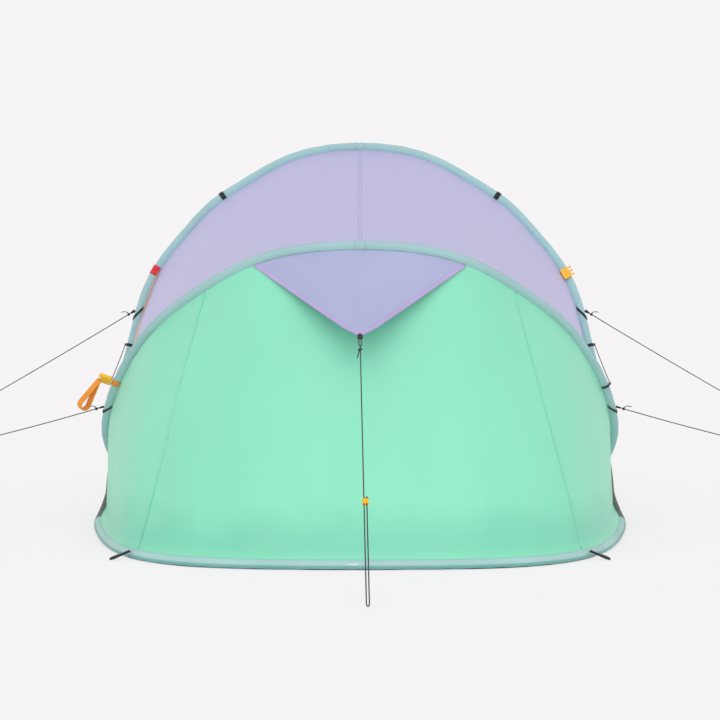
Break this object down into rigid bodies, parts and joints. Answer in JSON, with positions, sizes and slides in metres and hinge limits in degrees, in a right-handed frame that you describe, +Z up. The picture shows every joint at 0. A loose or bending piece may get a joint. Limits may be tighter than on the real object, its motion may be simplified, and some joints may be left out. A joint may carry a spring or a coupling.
{
  "type": "pop up tent",
  "caption": "Low double-skin pop up tent on two sprung hoops in tape sleeves, with a shaded vent, pegged guy lines, side-release buckles and a zipped door.",
  "frame": {"origin": "on the ground under the groundsheet, midway between the sides, on the line where the hoops leave the floor", "axes": "+X to the right seen from the low end, +Y towards the door end, +Z up"},
  "size_m": [2.1948, 2.9424, 1.088],
  "materials": {
    "lilac_cloth": "thin coated polyester, light sheen",
    "green_cloth": "thin coated polyester, light sheen",
    "pale_tape": "woven binding tape",
    "dark_tape": "heavy woven cloth",
    "mesh": "fine insect mesh",
    "inner_cloth": "breathable polyester",
    "ground_cloth": "coated woven sheet",
    "fibreglass": "glass fibre rod",
    "steel": "plain",
    "dark_cord": "braided cord",
    "black_webbing": "woven webbing",
    "red_webbing": "woven webbing",
    "orange_webbing": "woven webbing",
    "yellow_plastic": "moulded",
    "zip_cloth": "zip tape and coil",
    "zip_metal": "die cast"
  },
  "bodies": {
    "tent": {"awning_line_loop": "dark_cord", "awning_tip_tab": "black_webbing", "brace_cord_left": "dark_cord", "brace_cord_right": "dark_cord", "brace_cord_tags": "black_webbing", "buckle_webbings": "orange_webbing", "dark_tape_tags": "black_webbing", "door_end_floor_sleeve": "pale_tape", "door_end_panel_left": "green_cloth", "door_end_panel_right": "green_cloth", "groundsheet": "ground_cloth", "guy_line_end_loops": "dark_cord", "guy_line_low_left": "dark_cord", "guy_line_low_right": "dark_cord", "guy_line_tall_left": "dark_cord", "guy_line_tall_right": "dark_cord", "guy_tabs": "black_webbing", "inner_door_end_wall": "inner_cloth", "inner_low_end_wall": "inner_cloth", "inner_roof": "inner_cloth", "inner_zip_fixed_half": "zip_cloth", "low_arch_sleeve": "pale_tape", "low_end_floor_sleeve": "pale_tape", "low_end_gusset_left": "green_cloth", "low_end_gusset_right": "green_cloth", "low_end_panel": "green_cloth", "low_hoop_ferrules": "steel", "low_hoop_rod": "fibreglass", "low_side_sleeve_left": "dark_tape", "low_side_sleeve_right": "dark_tape", "outer_zip_fixed_half": "zip_cloth", "peg_loops_door_end": "dark_cord", "peg_loops_low_end": "dark_cord", "pull_ribbon": "orange_webbing", "rear_guy_knots": "dark_cord", "rear_guy_line": "dark_cord", "red_tape_tag": "red_webbing", "roof_panel_left": "lilac_cloth", "roof_panel_right": "lilac_cloth", "side_wall_left": "dark_tape", "side_wall_right": "dark_tape", "tall_arch_sleeve": "pale_tape", "tall_hoop_ferrules": "steel", "tall_hoop_rod": "fibreglass", "tall_side_sleeve_left": "dark_tape", "tall_side_sleeve_right": "dark_tape", "vent_awning": "lilac_cloth", "vent_mesh": "mesh"},
    "outer_door": {"outer_door": "green_cloth", "outer_zip_door_half": "zip_cloth"},
    "inner_door": {"inner_door": "inner_cloth", "inner_zip_door_half": "zip_cloth"},
    "outer_zip_slider": {"outer_zip_slider": "zip_metal"},
    "outer_zip_puller": {"outer_zip_puller": "zip_metal"},
    "inner_zip_slider": {"inner_zip_slider": "zip_metal"},
    "line_tensioner": {"line_tensioner": "yellow_plastic"},
    "socket_buckle": {"socket_buckle": "yellow_plastic", "handle_loop": "orange_webbing"},
    "plug_buckle": {"plug_buckle": "yellow_plastic"}
  },
  "joints": [
    {"name": "outer_door_swing", "type": "hinge", "parent": "tent", "child": "outer_door", "pos_m": [-0.3994, 1.15006, 0.06666], "axis": [0.1291, -0.6674, 0.7334], "range_deg": [0, 110]},
    {"name": "inner_door_fall", "type": "hinge", "parent": "tent", "child": "inner_door", "pos_m": [0, 1.08, 0.101], "axis": [1, 0, 0], "range_deg": [0, 38]},
    {"name": "outer_zip_run", "type": "slide", "parent": "tent", "child": "outer_zip_slider", "axis": [-0.128, -0.6658, 0.7351], "range_m": [0, 0.96]},
    {"name": "outer_zip_puller_flap", "type": "hinge", "parent": "outer_zip_slider", "child": "outer_zip_puller", "pos_m": [0.40413, 1.15613, 0.0584], "axis": [0.9348, -0.3286, -0.1348], "range_deg": [0, 120]},
    {"name": "inner_zip_run", "type": "slide", "parent": "tent", "child": "inner_zip_slider", "axis": [-0.1381, -0.6642, 0.7347], "range_m": [0, 0.76]},
    {"name": "tensioner_run", "type": "slide", "parent": "tent", "child": "line_tensioner", "axis": [0.0157, -0.7747, -0.6321], "range_m": [0, 0.3]},
    {"name": "socket_buckle_swing", "type": "hinge", "parent": "tent", "child": "socket_buckle", "pos_m": [-0.67701, -0.28227, 0.41745], "axis": [-0.3058, 0.7564, -0.5783], "range_deg": [-20, 10]},
    {"name": "plug_buckle_swing", "type": "hinge", "parent": "tent", "child": "plug_buckle", "pos_m": [0.58877, 0.19368, 0.70012], "axis": [-0.4692, 0.2157, 0.8564], "range_deg": [-30, 0]}
  ]
}
